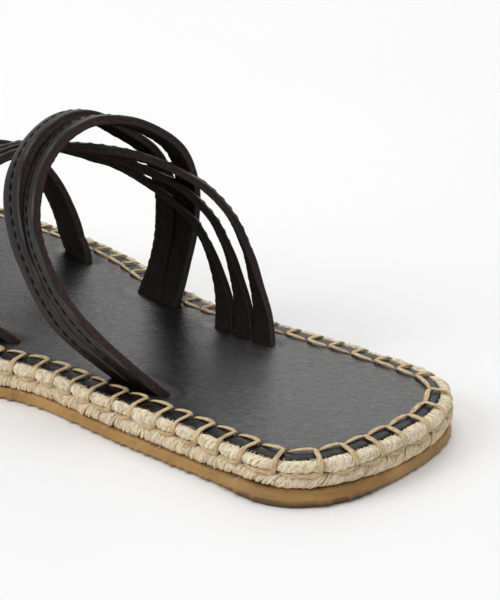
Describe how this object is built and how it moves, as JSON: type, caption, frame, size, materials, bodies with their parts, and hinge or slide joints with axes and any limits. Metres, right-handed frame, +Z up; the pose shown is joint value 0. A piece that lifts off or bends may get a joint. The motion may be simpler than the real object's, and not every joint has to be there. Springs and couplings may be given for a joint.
{
  "type": "espadrille-soled strappy leather slide sandal",
  "caption": "Flat slide sandal for the left foot: narrow dark leather straps crossing over an open instep, leather footbed blanket-stitched to a jute rope sole on a gum rubber outsole.",
  "frame": {"origin": "on the floor under the middle of the sandal's box", "axes": "+X from heel to toe, +Y to the outer (little toe) side, +Z up"},
  "size_m": [0.25, 0.089, 0.0637],
  "materials": {
    "gum_rubber": "honey-coloured gum rubber, satin, with a ragged moulding flash",
    "jute_braid": "natural jute braid, matte, hairy",
    "jute_cord": "natural jute cord wrapped by tan blanket stitch, matte",
    "footbed_leather": "charcoal leather, satin, fine streaked grain",
    "strap_leather": "very dark brown leather, satin face, rough flesh side and raw cut edges"
  },
  "bodies": {
    "root": {"outsole": "gum_rubber", "jute_midsole": "jute_braid", "jute_rim": "jute_cord", "footbed": "footbed_leather", "strap_upper": "strap_leather"}
  },
  "joints": []
}
